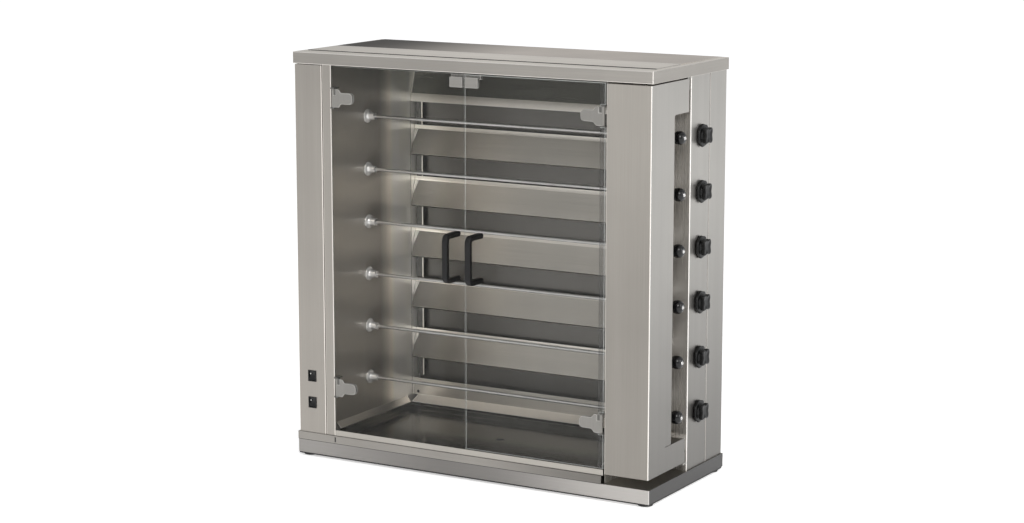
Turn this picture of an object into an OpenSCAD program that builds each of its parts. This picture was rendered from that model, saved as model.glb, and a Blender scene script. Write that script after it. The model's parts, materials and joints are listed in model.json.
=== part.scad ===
// Six-spit gas rotisserie oven: glass-fronted cavity, drive column on the left,
// spit handles and burner controls on the right behind a hinged guard.
// Millimetres, +X right, +Y back, +Z up, origin on the floor at the middle of the plinth.

/* [Overall] */
// Width of the cap and the plinth
width = 1098; // [900:2:1300]
// Depth of the cap and the plinth
depth = 446; // [400:2:600]
// Floor to the top face of the cap
cap_top = 1130; // [1000:5:1300]
// Height of the cap's fascia
cap_height = 32; // [25:1:50]
// Height of the plinth box
plinth_height = 37; // [30:1:60]
// Clear height under the plinth
foot_height = 10; // [8:1:30]
// Thickness of the casing sheets
sheet = 1.5; // [1:0.1:2]

/* [Body] */
// Step from the cap's end to the body's side
body_inset = 4; // [2:1:10]
// Step from the cap's front to the body's front
front_inset = 2; // [1:1:10]
// Width of the drive column's cover
column_width = 88; // [70:1:120]
// Width of the post between the column and the glass
post_width = 29; // [20:1:40]
// Left face of the cavity, from the middle of the plinth
cavity_left = -426; // [-450:1:-400]
// Right face of the cavity, from the middle of the plinth
cavity_right = 414; // [390:1:440]
// Height of the band under the glass
band_height = 22; // [15:1:30]
// Height of the drip tray's front strip
tray_strip = 16; // [12:1:25]

/* [Doors] */
// Thickness of the door glass
glass = 6; // [4:1:8]
// Gap between the two panes
door_gap = 2; // [1:0.5:4]
// Floor to the bottom edge of the glass
door_bottom = 87; // [80:1:100]
// Floor to the top edge of the glass
door_top = 1094; // [1000:1:1096]
// Height of the lower hinges
hinge_low = 207; // [150:1:300]
// Height of the upper hinges
hinge_high = 1009.5; // [900:0.5:1050]
// Middle height of the door handles
handle_middle = 611.5; // [500:0.5:700]
// Distance between the legs of a door handle
handle_span = 118; // [96:1:160]
// Reach of a door handle in front of the glass
handle_reach = 60; // [40:1:70]

/* [Spits] */
// Number of spits and burners
spit_count = 6; // [6:1:6]
// Height of the top spit
spit_top = 943; // [900:1:960]
// Height from one spit to the next
spit_pitch = 148; // [120:1:160]
// Spit line, from the middle of the depth
spit_y = -45; // [-80:1:0]
// Diameter of a spit rod
rod_diameter = 9; // [8:1:12]
// Diameter of a spit handle
ball_diameter = 36; // [30:1:45]
// Centre of a spit handle, from the middle of the width
ball_x = 537; // [520:1:540]

/* [Controls] */
// Knob axis, from the middle of the depth
knob_y = 68; // [50:1:90]
// Drop of each knob below its spit
knob_drop = 4.5; // [0:0.5:10]
// Diameter of a knob's flange
knob_diameter = 62; // [45:1:70]
// How far a knob stands out from its panel
knob_reach = 24; // [20:1:35]
// Front edge of the control panel
panel_front = 5; // [0:1:10]
// Rear edge of the control panel
panel_rear = 118; // [110:1:130]
// Middle height of the upper rocker switch
rocker_high = 230.5; // [200:0.5:260]
// Middle height of the lower rocker switch
rocker_low = 155; // [130:0.5:180]
// Centre line of the rocker switches
rocker_x = -501; // [-510:1:-490]

/* [Guard] */
// Left edge of the guard
guard_left = 417; // [416:1:430]
// Bottom edge of the guard
guard_bottom = 73.5; // [70:0.5:90]
// Top edge of the guard
guard_top = 1093; // [1080:1:1094]
// Hinge axis of the guard, across the width
guard_axis_x = 538; // [534:1:540]
// Hinge axis of the guard, along the depth
guard_axis_y = -8; // [-12:1:-6]
// Front edge of the slot for the spit handles
slot_front = -90; // [-100:1:-80]
// Bottom of the slot for the spit handles
slot_bottom = 140; // [130:1:160]
// Top of the slot for the spit handles
slot_top = 1007; // [990:1:1020]

/* [Hidden] */
function numbered(name) = [for (i = [1:spit_count]) str(name, i)];

$fn = 64;
eps = 0.01;
// Running clearance of a pin or shaft, on the radius
running = 0.05;

half_width = width / 2;
half_depth = depth / 2;
body_x = half_width - body_inset;
front_y = front_inset - half_depth;
back_y = half_depth - front_inset;
deck_z = foot_height + plinth_height;
band_top = deck_z + band_height;
cap_z = cap_top - cap_height;
column_top = cap_z - 2;
middle_x = (cavity_left + cavity_right) / 2;
column_edge = -body_x + column_width;
post_left = cavity_left - post_width;
glass_front = front_y;
glass_back = front_y + glass;
thin = 1.2;

// Feet
foot_x = half_width - 24;
foot_y = half_depth - 28;
foot_radius = 20;
stud_radius = 5;
stud_length = 14;
stud_clearance = 0.3;
plinth_wall = 2;
plinth_lip = 45;

// Rail under the glass
rail_end = 409;
rail_front = -half_depth - 1;
rail_back = -200;
rail_end_gap = 14;

// Cap
lid_rise = 2;
lid_left = -half_width + 13;
lid_right = half_width - 19;
lid_front = -166;
lid_break = -28;
groove_width = 2.5;

// Drive column
louvre_rows = [140, 860];
louvre_count = 9;
louvre_pitch = 24;
louvre_height = 6;
louvre_front = 20;
louvre_rear = 120;
cutout_half_width = 11.3;
cutout_half_height = 14.8;

// Cavity lining
wall_front = -213;
lip_top = 104;
lip_bottom = 90;
lip_reach = 12;
lip_front = -210;
tray_rear = 150;
runner_z = band_top - 0.5;
runner_front = -198;
runner_rear = 165;
runner_reach = 14;
burner_y = 209.5;
burner_drop = 70;
burner_radius = 8;
feed_x = 500;
feed_radius = 5;
sump_y = -35;
sump_radius = 12;
recess_y = 200;
baffle_y = 178;
flange_drop = 49.5;
hood_edge_y = 181.2;
hood_edge_z = 962;
hood_vent_y = 110;
hood_vent_left = -390;
hood_vent_right = 310;
hood_vent_pitch = 100;
lower_top = 153.5;
lower_bend = 106;
lower_y = 190;

// Vents and screws at the back
vent_length = 70;
back_vent_left = -390;
back_vent_right = 330;
back_vent_pitch = 90;
back_vent_rows = [1040, 1054, 1068];
screw_rows = [180, 460, 740, 1020];
screw_radius = 2;
screw_head = 4.2;

// Doors
door_axis_inset = 7;
door_axis_y = glass_front + 1;
notch_width = 14;
notch_half = 29.5;
knuckle_radius = 4.5;
pin_radius = 2;
bolt_radius = 3;
bolt_hole = 4;
clamp = 2;
hinge_plate = 3;
base_width = 24;
base_half = 24.5;
hinge_bolt_x = cavity_left + 51;
arm_end = 71;
arm_half = 16.5;
left_handle_x = -26.5;
right_handle_x = 43.5;
bar_radius = 8.5;
leg_radius = 6;
strike_width = 42;
strike_height = 27;
strike_drop = 34;
strike_wrap = 0.6;
catch_half = 45;
catch_front = -210;
catch_back = -198;
bracket_low = 15;
ear_gap = 0.5;
ear_thickness = 3.5;

// Spits
boss = 14;
socket_tip = cavity_left + 28;
socket_bore = 7.8;
cup_flange = 19;
cup_radius = 9.5;
tang = 7;
rod_end = 552;
shaft_radius = 8;
sprocket_radius = 28;
tooth_tip = 32;
tooth_count = 15;
chain_inner = 32.5;
chain_outer = 38;
sprocket_x = cavity_left - 28;
motor_left = cavity_left - 104;
motor_right = sprocket_x - 8;
motor_half = 40;
motor_foot = 53;
rest_slot = 14;

// Controls
valve_half = 18;
valve_left = 485;
valve_right = 525;
manifold_x = 500;
manifold_y = 30;
pipe_radius = 9;
branch_radius = 6;
inlet_radius = 10.5;
inlet_bore = 7;
inlet_z = 110;
inlet_reach = 30;
spindle_radius = 4;
spindle_start = 512;
spindle_hole = 6;
hub_radius = 20;
grip_core = 16;
lobe_radius = 7;
lobe_reach = 19;
gland_x = -490;
gland_z = 100;
gland_bore = 4.5;
gland_neck = 8;
gland_nut = 13;
gland_cap = 9.5;
bezel_width = 26;
bezel_height = 31.5;
housing_x = 11;
housing_z = 14.5;
rocker_width = 20;
rocker_height = 25;
rocker_pivot_y = front_y + 6;
rocker_pin = 2;
rocker_tilt = 8;

// Guard
guard_pin = 4;
guard_knuckle = 7;
knuckle_length = 28;
guard_clearance = 0.5;
guard_plate = 4.5;
shelf_reach = 64;
shelf_rear = -16;
relief_front = slot_front - 35;
corner = 8;

function spit_z(i) = spit_top - (i - 1) * spit_pitch;
function knob_z(i) = spit_z(i) - knob_drop;
function burner_z(i) = spit_z(i) - burner_drop;

steel = [0.66, 0.64, 0.61];
dark_steel = [0.40, 0.39, 0.37];
bright_steel = [0.82, 0.82, 0.84];
black = [0.08, 0.08, 0.08];
zinc = [0.72, 0.73, 0.74];
clear = [0.55, 0.60, 0.60, 0.35];

// Straight bends of one sheet: the middle line's points, thickness t
module bent(points, t = sheet) {
    for (k = [0 : len(points) - 2]) {
        run = points[k + 1] - points[k];
        translate(points[k])
            rotate(atan2(run[1], run[0]))
                translate([0, -t / 2])
                    square([norm(run), t]);
    }
    for (k = [1 : 1 : len(points) - 2])
        translate(points[k])
            circle(d = t);
}

// A bent sheet seen from above, standing between two heights
module upright(points, low, high, t = sheet) {
    translate([0, 0, low])
        linear_extrude(high - low)
            bent(points, t);
}

// A bent sheet seen from the right side, points as [y, z], running along X
module along_x(points, left, right, t = sheet) {
    translate([left, 0, 0])
        rotate([90, 0, 90])
            linear_extrude(right - left)
                bent(points, t);
}

// A cylinder along X or Y that starts at a point
module rod_x(start, length, radius) {
    translate(start)
        rotate([0, 90, 0])
            cylinder(h = length, r = radius);
}

module rod_y(start, length, radius) {
    translate(start)
        rotate([-90, 0, 0])
            cylinder(h = length, r = radius);
}

// A box from one corner to the opposite one
module block(low, high) {
    translate(low)
        cube(high - low);
}

module at_corners(x, y) {
    for (sx = [-1, 1])
        for (sy = [-1, 1])
            translate([sx * x, sy * y, 0])
                children();
}

// The left door's pieces, mirrored for the right door
module mirrored() {
    translate([2 * middle_x, 0, 0])
        mirror([1, 0, 0])
            children();
}

// Base

module feet() {
    color(black)
        at_corners(foot_x, foot_y) {
            cylinder(h = foot_height, r = foot_radius);
            cylinder(h = foot_height + stud_length, r = stud_radius);
        }
}

module plinth() {
    inner_x = half_width - plinth_wall;
    inner_y = half_depth - plinth_wall;
    color(steel)
        difference() {
            block([-half_width, -half_depth, foot_height], [half_width, half_depth, deck_z]);
            block([-inner_x, -inner_y, foot_height + plinth_wall],
                  [inner_x, inner_y, deck_z - plinth_wall]);
            block([-half_width + plinth_lip, -half_depth + plinth_lip, foot_height - 1],
                  [half_width - plinth_lip, half_depth - plinth_lip, foot_height + plinth_wall + 1]);
            at_corners(foot_x, foot_y)
                cylinder(h = deck_z - plinth_wall, r = stud_radius + stud_clearance);
        }
}

module front_rail() {
    face_y = rail_front + sheet / 2;
    low_z = deck_z + sheet / 2;
    high_z = band_top - sheet / 2;
    color(steel)
        difference() {
            union() {
                along_x([[rail_back, low_z], [face_y, low_z], [face_y, high_z], [rail_back, high_z]],
                        -half_width, rail_end);
                block([rail_end - sheet, face_y, deck_z], [rail_end, rail_back, band_top]);
                block([-half_width, face_y, deck_z], [-half_width + sheet, back_y, band_top]);
                block([-half_width, rail_back, band_top - sheet],
                      [-body_x + rail_end_gap, back_y - 2 * sheet, band_top]);
            }
            block([cavity_left - 0.5, rail_front - 1, deck_z + 4],
                  [cavity_left + 2.5, rail_front + 3, band_top - 4]);
        }
}

// Drive column

module left_cover() {
    edge_x = column_edge - sheet / 2;
    side_x = -body_x + sheet / 2;
    color(steel)
        difference() {
            upright([[edge_x, front_y + 16], [edge_x, front_y + sheet / 2], [side_x, front_y + sheet / 2],
                     [side_x, back_y - 4], [side_x + 20, back_y - 4]], band_top, column_top);
            for (z = [rocker_high, rocker_low])
                translate([rocker_x, front_y, z])
                    cube([2 * cutout_half_width, 4 * sheet, 2 * cutout_half_height], center = true);
            for (low = louvre_rows)
                for (k = [0 : louvre_count - 1])
                    block([-body_x - 1, louvre_front, low + k * louvre_pitch],
                          [-body_x + 2 * sheet, louvre_rear, low + k * louvre_pitch + louvre_height]);
        }
}

// Sloping lip over one edge of the drip tray
module side_lip(face, inward) {
    translate([face, lip_front, 0])
        rotate([90, 0, 0])
            mirror([0, 0, 1])
                linear_extrude(tray_rear - lip_front)
                    bent([[-inward * sheet / 2, lip_top + 2], [inward * thin / 2, lip_top],
                          [inward * lip_reach, lip_bottom]], thin);
}

module left_inner_wall() {
    wall_x = cavity_left - sheet / 2;
    post_x = post_left + sheet / 2;
    color(steel)
        difference() {
            union() {
                difference() {
                    upright([[post_x, front_y + 21], [post_x, front_y + sheet / 2],
                             [wall_x, front_y + sheet / 2], [wall_x, back_y - sheet]], deck_z, cap_z);
                    block([post_left - 1, front_y - 1, deck_z - 1],
                          [cavity_left + 1, runner_front, band_top + 0.5]);
                }
                for (i = [1:spit_count])
                    rod_x([cavity_left - boss, spit_y, spit_z(i)], boss, boss);
                side_lip(cavity_left, 1);
                block([cavity_left - sheet, runner_front, runner_z - 1],
                      [cavity_left + runner_reach, runner_rear, runner_z + 0.5]);
            }
            for (i = [1:spit_count])
                rod_x([cavity_left - boss - 1, spit_y, spit_z(i)], boss + 2, shaft_radius + running);
        }
}

module right_inner_wall() {
    color(steel)
        difference() {
            union() {
                block([cavity_right, wall_front, deck_z], [cavity_right + sheet, back_y - sheet, cap_z]);
                side_lip(cavity_right, -1);
                block([cavity_right - runner_reach, runner_front, runner_z - 1],
                      [cavity_right + sheet, runner_rear, runner_z + 0.5]);
            }
            for (i = [1:spit_count]) {
                block([cavity_right - 1, wall_front - 1, spit_z(i) - rest_slot / 2],
                      [cavity_right + 3, spit_y, spit_z(i) + rest_slot / 2]);
                rod_x([cavity_right - 1, spit_y, spit_z(i)], 4, rest_slot / 2);
                rod_x([cavity_right - 1, burner_y, burner_z(i)], 4, feed_radius + 1);
            }
        }
}

// Casing

module back_panel() {
    color(steel)
        difference() {
            block([-body_x + 2, back_y - sheet, deck_z], [body_x - 2, back_y, cap_z]);
            rod_y([manifold_x, back_y - 3, inlet_z], 5, inlet_radius + 1);
            rod_y([gland_x, back_y - 3, gland_z], 5, gland_neck + stud_clearance);
            for (x = [back_vent_left : back_vent_pitch : back_vent_right])
                for (z = back_vent_rows)
                    block([x, back_y - 3, z], [x + vent_length, back_y + 1, z + 6]);
            screw_places()
                translate([0, 0, -6])
                    cylinder(h = 10, r = screw_radius + stud_clearance);
        }
}

module right_side_panel() {
    side_x = body_x - sheet / 2;
    color(steel)
        upright([[side_x, panel_rear + 1.5], [side_x, back_y - 1.5 * sheet - eps],
                 [side_x - 25, back_y - 1.5 * sheet - eps]], deck_z, cap_z);
}

module control_panel() {
    side_x = body_x - sheet / 2;
    front = panel_front + sheet / 2;
    rear = panel_rear - sheet / 2;
    color(steel)
        difference() {
            upright([[cavity_right + sheet, front], [side_x, front], [side_x, rear], [side_x - 18, rear]],
                    deck_z, cap_z);
            for (i = [1:spit_count])
                rod_x([body_x - 5, knob_y, knob_z(i)], 8, spindle_hole);
        }
}

module cap() {
    lip = 12;
    color(steel)
        union() {
            difference() {
                block([-half_width, -half_depth, cap_z], [half_width, half_depth, cap_top]);
                block([-half_width + sheet, -half_depth + sheet, cap_z + sheet],
                      [half_width - sheet, half_depth - sheet, cap_top - sheet]);
                block([-half_width + lip, -half_depth + lip, cap_z - 1],
                      [half_width - lip, half_depth - lip, cap_z + sheet + 1]);
                block([lid_left, lid_front - groove_width, cap_top - 1], [lid_right, lid_front, cap_top + 1]);
            }
            block([lid_left, lid_front, cap_top - eps], [lid_right, lid_break, cap_top + lid_rise]);
        }
}

module vent_plate() {
    color(dark_steel)
        translate([lid_left, 0, 0])
            rotate([90, 0, 90])
                linear_extrude(lid_right - lid_left)
                    polygon([[lid_break + 0.5, cap_top], [back_y - 2, cap_top],
                             [back_y - 2, cap_top + 0.8], [lid_break + 0.5, cap_top + lid_rise]]);
}

// Cavity

module hood() {
    ceiling = cap_z - 4.1;
    color(dark_steel)
        difference() {
            translate([cavity_left + 0.5, 0, 0])
                rotate([90, 0, 90])
                    linear_extrude(cavity_right - cavity_left - 1)
                        polygon([[wall_front + 1, ceiling], [back_y - 9, ceiling],
                                 [hood_edge_y - thin, hood_edge_z + 24], [hood_edge_y - thin, hood_edge_z],
                                 [hood_edge_y, hood_edge_z], [hood_edge_y, hood_edge_z + 24],
                                 [back_y - 7, ceiling + thin], [wall_front + 1, ceiling + thin]]);
            for (x = [hood_vent_left : hood_vent_pitch : hood_vent_right])
                block([x, hood_vent_y, ceiling - 2], [x + vent_length, hood_vent_y + 12, ceiling + 2]);
        }
}

module deflectors() {
    flange_low = flange_drop + 11.5;
    foot_low = flange_low + 70;
    color(steel)
        for (i = [1 : spit_count - 1])
            translate([0, 0, spit_z(i)])
                along_x([[recess_y, -flange_drop], [recess_y, -flange_low], [baffle_y, -foot_low],
                         [baffle_y + 6, -foot_low - 4]], cavity_left + 0.5, cavity_right - 0.5, thin);
}

module lower_panel() {
    color(steel)
        difference() {
            along_x([[lower_y, lower_top], [lower_y, lower_bend], [tray_rear + 2, lip_bottom + 1]],
                    cavity_left + 0.5, cavity_right - lip_reach - 1, thin);
            rod_y([cavity_left + 13, lower_y - 4, lower_bend + 8], 8, 4);
            block([cavity_left - 1, tray_rear - 10, lip_bottom - 10],
                  [cavity_left + lip_reach + 1.5, lower_y - 1, lower_bend - 0.5]);
        }
}

module drip_tray() {
    floor_z = runner_z + 0.8;
    left = cavity_left + 2;
    right = cavity_right - 2;
    rim = band_top + tray_strip;
    color(dark_steel)
        difference() {
            union() {
                block([left, front_y, floor_z], [right, tray_rear, floor_z + thin]);
                block([left - 1.5, front_y, floor_z], [right + 1.5, front_y + sheet, rim]);
                block([left, front_y, floor_z], [left + thin, tray_rear, rim]);
                block([right - thin, front_y, floor_z], [right, tray_rear, rim]);
                block([left, tray_rear - thin, floor_z], [right, tray_rear, rim]);
            }
            translate([middle_x, sump_y, floor_z + thin / 2])
                cylinder(h = 2, r = sump_radius);
        }
}

module burners() {
    tube_left = cavity_left + 26;
    tube_right = cavity_right - 9;
    color(steel)
        for (i = [1:spit_count]) {
            low = burner_z(i);
            high = knob_z(i);
            rod_x([tube_left, burner_y, low], tube_right - tube_left, burner_radius);
            rod_x([tube_right - 1, burner_y, low], feed_x - tube_right + 1, feed_radius);
            translate([feed_x, burner_y, low])
                cylinder(h = high - low, r = feed_radius);
            for (z = [low, high])
                translate([feed_x, burner_y, z])
                    sphere(r = feed_radius);
            rod_y([feed_x, knob_y + valve_half, high], burner_y - knob_y - valve_half, feed_radius);
        }
}

// Gas

module gas_manifold() {
    color([0.75, 0.65, 0.35])
        difference() {
            union() {
                translate([manifold_x, manifold_y, inlet_z])
                    cylinder(h = knob_z(1) + 2 * valve_half - inlet_z, r = pipe_radius);
                translate([manifold_x, manifold_y, inlet_z])
                    sphere(r = pipe_radius);
                rod_y([manifold_x, manifold_y, inlet_z], back_y - manifold_y, pipe_radius);
                rod_y([manifold_x, back_y, inlet_z], inlet_reach, inlet_radius);
                for (i = [1:spit_count]) {
                    rod_y([manifold_x, manifold_y, knob_z(i)], knob_y - manifold_y, branch_radius);
                    block([valve_left, knob_y - valve_half, knob_z(i) - valve_half],
                          [valve_right, knob_y + valve_half, knob_z(i) + valve_half]);
                }
            }
            for (i = [1:spit_count])
                rod_x([spindle_start - 4, knob_y, knob_z(i)], valve_right - spindle_start + 5,
                      spindle_radius + running);
            rod_y([manifold_x, back_y - 10, inlet_z], inlet_reach + 11, inlet_bore);
        }
}

module burner_knob(i) {
    flange_x = body_x + 2;
    hub_x = flange_x + 6;
    grip_x = hub_x + 5;
    grip_end = body_x + knob_reach;
    color(black) {
        rod_x([spindle_start, knob_y, knob_z(i)], flange_x - spindle_start + 1, spindle_radius);
        rod_x([flange_x, knob_y, knob_z(i)], 6, knob_diameter / 2);
        rod_x([hub_x - 1, knob_y, knob_z(i)], 7, hub_radius);
        rod_x([grip_x - 1, knob_y, knob_z(i)], grip_end - grip_x + 1, grip_core);
        for (turn = [45 : 90 : 315])
            translate([0, knob_y, knob_z(i)])
                rotate([turn, 0, 0])
                    rod_x([grip_x, 0, lobe_reach], grip_end - grip_x - 1, lobe_radius);
    }
}

// Spits and their drive

module spit(i) {
    translate([0, spit_y, spit_z(i)])
        color(bright_steel)
            union() {
                block([cavity_left + 8, -tang / 2, -tang / 2], [socket_tip + 4, tang / 2, tang / 2]);
                rod_x([socket_tip + 1, 0, 0], rod_end - socket_tip - 1, rod_diameter / 2);
                translate([rod_end, 0, 0])
                    sphere(d = rod_diameter);
            }
}

module spit_handle(i) {
    half_length = ball_diameter / 2 - 2;
    translate([ball_x, spit_y, spit_z(i)])
        color(black)
            difference() {
                intersection() {
                    sphere(d = ball_diameter);
                    rod_x([-half_length, 0, 0], 2 * half_length, ball_diameter);
                }
                rod_x([-ball_diameter, 0, 0], 2 * ball_diameter, rod_diameter / 2);
            }
}

module spit_drive(i) {
    shaft_end = (i == spit_count) ? motor_right - 12 : sprocket_x - 4;
    translate([0, spit_y, spit_z(i)])
        color(bright_steel)
            difference() {
                union() {
                    rod_x([shaft_end, 0, 0], cavity_left + 1 - shaft_end, shaft_radius);
                    rod_x([cavity_left + 0.5, 0, 0], 4, cup_flange);
                    rod_x([cavity_left + 4, 0, 0], socket_tip - cavity_left - 4, cup_radius);
                    rod_x([sprocket_x - 2, 0, 0], 4, sprocket_radius);
                    for (k = [1:tooth_count])
                        rotate([k * 360 / tooth_count, 0, 0])
                            block([sprocket_x - 2, -2, sprocket_radius - 5],
                                  [sprocket_x + 2, 2, tooth_tip - 0.1]);
                }
                block([cavity_left + 6, -socket_bore / 2, -socket_bore / 2],
                      [socket_tip + 1, socket_bore / 2, socket_bore / 2]);
            }
}

module gear_motor() {
    axis_z = spit_z(spit_count);
    near_y = spit_y - motor_half;
    far_y = spit_y + motor_half;
    color([0.55, 0.57, 0.60])
        difference() {
            union() {
                block([motor_left, near_y, axis_z - motor_foot], [motor_right, far_y, axis_z + motor_half]);
                rod_y([(motor_left + motor_right) / 2, far_y, axis_z], 90, 30);
                block([motor_left, near_y, axis_z - motor_foot],
                      [cavity_left - sheet, far_y, axis_z - motor_foot + 6]);
            }
            rod_x([motor_right - 16, spit_y, axis_z], 60, shaft_radius + running);
        }
}

module drive_chain() {
    low = spit_z(spit_count);
    translate([sprocket_x - 4, spit_y, 0])
        rotate([90, 0, 90])
            color(dark_steel)
                linear_extrude(8)
                    difference() {
                        chain_outline(chain_outer, low);
                        chain_outline(chain_inner, low);
                    }
}

module chain_outline(radius, low) {
    translate([-radius, low])
        square([2 * radius, spit_top - low]);
    translate([0, low])
        circle(r = radius);
    translate([0, spit_top])
        circle(r = radius);
}

// Glass doors

module pane(handle_x) {
    color(clear)
        difference() {
            block([cavity_left + 1, glass_front, door_bottom],
                  [middle_x - door_gap / 2, glass_back, door_top]);
            for (z = [hinge_low, hinge_high]) {
                block([cavity_left, glass_front - 1, z - notch_half],
                      [cavity_left + 1 + notch_width, glass_back + 1, z + notch_half]);
                rod_y([hinge_bolt_x, glass_front - 1, z], glass + 2, bolt_hole);
            }
            for (side = [-1, 1])
                rod_y([handle_x, glass_front - 1, handle_middle + side * handle_span / 2],
                      glass + 2, bolt_hole);
        }
}

module hinge_pair() {
    axis_x = cavity_left + door_axis_inset;
    base_x = cavity_left + 5;
    arm_x = cavity_left + arm_end;
    color(zinc)
        for (z = [hinge_low, hinge_high])
            translate([0, 0, z])
                difference() {
                    union() {
                        block([base_x, glass_front - hinge_plate, -base_half],
                              [base_x + base_width, glass_front, base_half]);
                        hinge_arm(base_x + base_width - 1, arm_x, glass_front - hinge_plate, glass_front);
                        hinge_arm(base_x + base_width, arm_x, glass_back, glass_back + clamp);
                        rod_y([hinge_bolt_x, glass_front - 1, 0], glass + 2, bolt_radius);
                        translate([axis_x, door_axis_y, -base_half])
                            cylinder(h = 2 * base_half, r = knuckle_radius);
                    }
                    translate([axis_x, door_axis_y, -base_half - 1])
                        cylinder(h = 2 * base_half + 2, r = pin_radius + running);
                }
}

module hinge_arm(left, right, near, far) {
    block([left, near, -arm_half], [right - arm_half, far, arm_half]);
    rod_y([right - arm_half, near, 0], far - near, arm_half);
}

module bracket_pair() {
    axis_x = cavity_left + door_axis_inset;
    ear_low = base_half + ear_gap;
    ear_high = ear_low + ear_thickness;
    color(zinc)
        for (z = [hinge_low, hinge_high])
            translate([0, 0, z])
                union() {
                    for (side = [0, 1])
                        mirror([0, 0, side]) {
                            block([cavity_left, wall_front, bracket_low],
                                  [cavity_left + sheet, catch_back, ear_high]);
                            block([cavity_left, glass_front - hinge_plate, ear_low],
                                  [axis_x + 4, catch_back, ear_high]);
                        }
                    translate([axis_x, door_axis_y, -ear_high])
                        cylinder(h = 2 * ear_high, r = pin_radius);
                }
}

module door_hinge_pins() {
    bracket_pair();
    mirrored()
        bracket_pair();
}

module d_handle(x) {
    bar_y = glass_front - handle_reach;
    color(black)
        translate([x, 0, handle_middle])
            union() {
                translate([0, bar_y, -handle_span / 2])
                    cylinder(h = handle_span, r = bar_radius);
                for (side = [-1, 1])
                    translate([0, 0, side * handle_span / 2]) {
                        translate([0, bar_y, 0])
                            sphere(r = bar_radius);
                        rod_y([0, bar_y, 0], handle_reach, leg_radius);
                        rod_y([0, glass_front - 4, 0], 4, leg_radius + 3);
                        rod_y([0, glass_front - 1, 0], glass + 1 + clamp, bolt_radius);
                        rod_y([0, glass_back, 0], clamp, leg_radius + 2);
                    }
            }
}

// Clip of bent sheet around the free edge of the left pane
module strike() {
    edge = middle_x - door_gap / 2;
    color(zinc)
        translate([0, 0, door_top - strike_drop])
            linear_extrude(strike_height)
                union() {
                    for (y = [glass_front - sheet, glass_back])
                        translate([edge - strike_width, y])
                            square([strike_width + strike_wrap, sheet]);
                    translate([edge, glass_front - 1])
                        square([strike_wrap, glass + 2]);
                }
}

module door_catch() {
    color(zinc)
        block([middle_x - catch_half, catch_front, door_top - 12],
              [middle_x + catch_half, catch_back, cap_z - 4.1]);
}

// Guard

module guard_knuckles() {
    for (z = [guard_bottom - 2, guard_top - knuckle_length])
        translate([guard_axis_x, guard_axis_y, z])
            cylinder(h = knuckle_length, r = guard_knuckle);
}

module guard_door() {
    side_x = body_x - sheet / 2;
    near_y = front_y + sheet / 2;
    shelf_z = slot_bottom - sheet;
    color(steel)
        difference() {
            union() {
                upright([[guard_left + sheet / 2, front_y + 7], [guard_left + sheet / 2, near_y],
                         [side_x, near_y], [side_x, guard_axis_y]], guard_bottom, guard_top);
                guard_knuckles();
                block([body_x - shelf_reach, relief_front, shelf_z], [body_x - 0.3, shelf_rear, slot_bottom]);
            }
            block([body_x - 3, slot_front + corner, slot_bottom], [body_x + 1, 10, slot_top]);
            block([body_x - 3, slot_front, slot_bottom], [body_x + 1, 10, slot_top - corner]);
            rod_x([body_x - 3, slot_front + corner, slot_top - corner], 4, corner);
            block([body_x - sheet - 0.2, relief_front, slot_bottom],
                  [body_x + 1, slot_front + 1, slot_bottom + sheet]);
            translate([guard_axis_x, guard_axis_y, deck_z])
                cylinder(h = cap_z - deck_z, r = guard_pin + running);
        }
}

module guard_hinge_pins() {
    low_z = guard_bottom - 2 - guard_clearance;
    high_z = guard_top + guard_clearance;
    pin_length = guard_plate + knuckle_length - 2;
    corner_low = [guard_axis_x - guard_knuckle - 2, guard_axis_y - guard_knuckle, 0];
    corner_high = [body_x - 0.5, panel_front, guard_plate];
    color(zinc) {
        translate([guard_axis_x, guard_axis_y, low_z - guard_plate])
            cylinder(h = pin_length, r = guard_pin);
        translate([0, 0, low_z - guard_plate])
            block(corner_low, corner_high);
        translate([guard_axis_x, guard_axis_y, high_z + guard_plate - pin_length])
            cylinder(h = pin_length, r = guard_pin);
        translate([0, 0, high_z])
            block(corner_low, corner_high);
    }
}

// Switches and small parts

module rocker(z) {
    half = rocker_height / 2;
    end_gap = 0.25;
    translate([rocker_x - rocker_width / 2, rocker_pivot_y, z])
        color(black)
            union() {
                rotate([90, 0, 90])
                    rotate(-rocker_tilt)
                        linear_extrude(rocker_width)
                            polygon([[-6.5, -half], [-4.5, 0], [-6.5, half], [1, half - 1.5], [5, 0],
                                     [1, 1.5 - half]]);
                rod_x([-end_gap, 0, 0], rocker_width + 2 * end_gap, rocker_pin);
            }
}

module switch_bezels() {
    color(black)
        for (z = [rocker_high, rocker_low])
            translate([rocker_x, 0, z])
                difference() {
                    union() {
                        block([-bezel_width / 2, front_y - 2, -bezel_height / 2],
                              [bezel_width / 2, front_y, bezel_height / 2]);
                        block([-housing_x, front_y - 1, -housing_z],
                              [housing_x, front_y + 26, housing_z]);
                    }
                    block([-housing_x + 0.7, front_y - 3, -housing_z + 0.9],
                          [housing_x - 0.7, front_y + 20, housing_z - 0.9]);
                }
}

module cable_gland() {
    color(black)
        difference() {
            union() {
                rod_y([gland_x, back_y - gland_neck, gland_z], gland_neck + 2, gland_neck);
                translate([gland_x, back_y, gland_z])
                    rotate([-90, 0, 0])
                        cylinder(h = 5, r = gland_nut, $fn = 6);
                rod_y([gland_x, back_y + 4, gland_z], 14, gland_cap);
            }
            rod_y([gland_x, back_y - gland_neck - 1, gland_z], 30, gland_bore);
        }
}

// The screws of the back panel, drilled along +Y from outside
module screw_places() {
    for (x = [-body_x + 14, body_x - 14])
        for (z = screw_rows)
            translate([x, back_y, z])
                rotate([-90, 0, 0])
                    children();
}

module cover_screws() {
    color(bright_steel)
        screw_places() {
            cylinder(h = 2.4, r = screw_head);
            translate([0, 0, -sheet])
                cylinder(h = sheet + 1, r = screw_radius);
        }
}

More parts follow.
